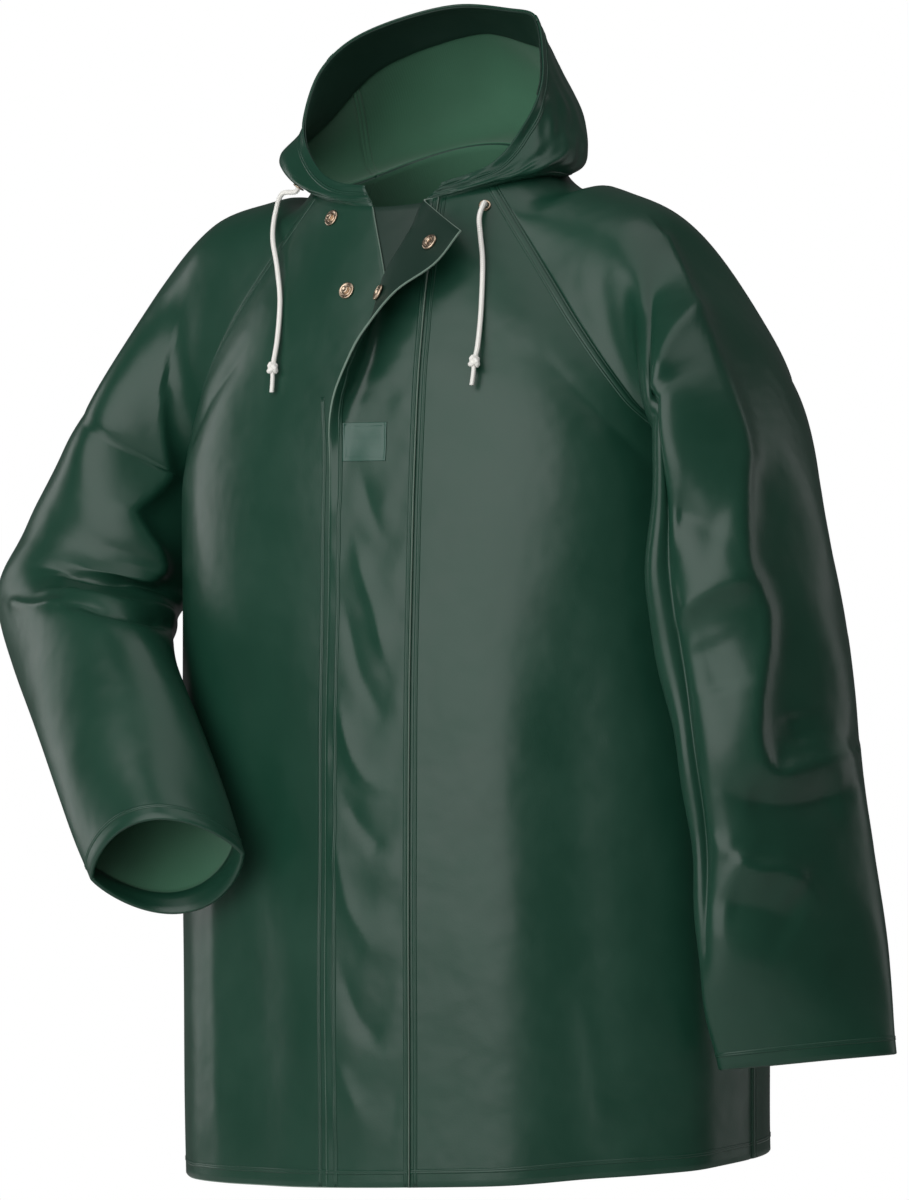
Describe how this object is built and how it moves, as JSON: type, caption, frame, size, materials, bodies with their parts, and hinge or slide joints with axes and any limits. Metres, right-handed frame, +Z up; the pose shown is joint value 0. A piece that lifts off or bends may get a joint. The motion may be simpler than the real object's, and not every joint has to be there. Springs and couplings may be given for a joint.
{
  "type": "raincoat",
  "caption": "Hooded raincoat of coated cloth in its worn form with nobody in it: raglan sleeves, right arm bent, storm flap turned open at the neck, hood pushed half back, loose drawcord.",
  "frame": {"origin": "the middle of the neck opening, level with the tops of the shoulders that carry the coat", "axes": "+Z up along the standing coat, -Y out of its front, +X to the wearer's left"},
  "size_m": [0.8284, 0.4387, 0.9986],
  "materials": {
    "coated_cloth": "dark green glossy coating on a textile backing",
    "facing_cloth": "coating seen from its inner side, semi-matt",
    "cord": "white braided cord",
    "stud_metal": "polished, slightly dulled",
    "badge_cloth": "bare welded patch"
  },
  "bodies": {
    "root": {"back": "coated_cloth", "front_right": "coated_cloth", "front_left": "coated_cloth", "sleeve_right": "coated_cloth", "sleeve_left": "coated_cloth", "storm_flap": "coated_cloth", "fly_placket": "facing_cloth", "hood_left": "coated_cloth", "hood_middle": "coated_cloth", "hood_right": "coated_cloth", "hood_facing": "facing_cloth", "stud_upper": "stud_metal", "stud_lower": "stud_metal", "socket_upper": "stud_metal", "socket_lower": "stud_metal", "eyelet_right": "stud_metal", "eyelet_left": "stud_metal", "drawcord_right": "cord", "drawcord_left": "cord", "knot_right": "cord", "knot_left": "cord", "badge": "badge_cloth"}
  },
  "joints": []
}
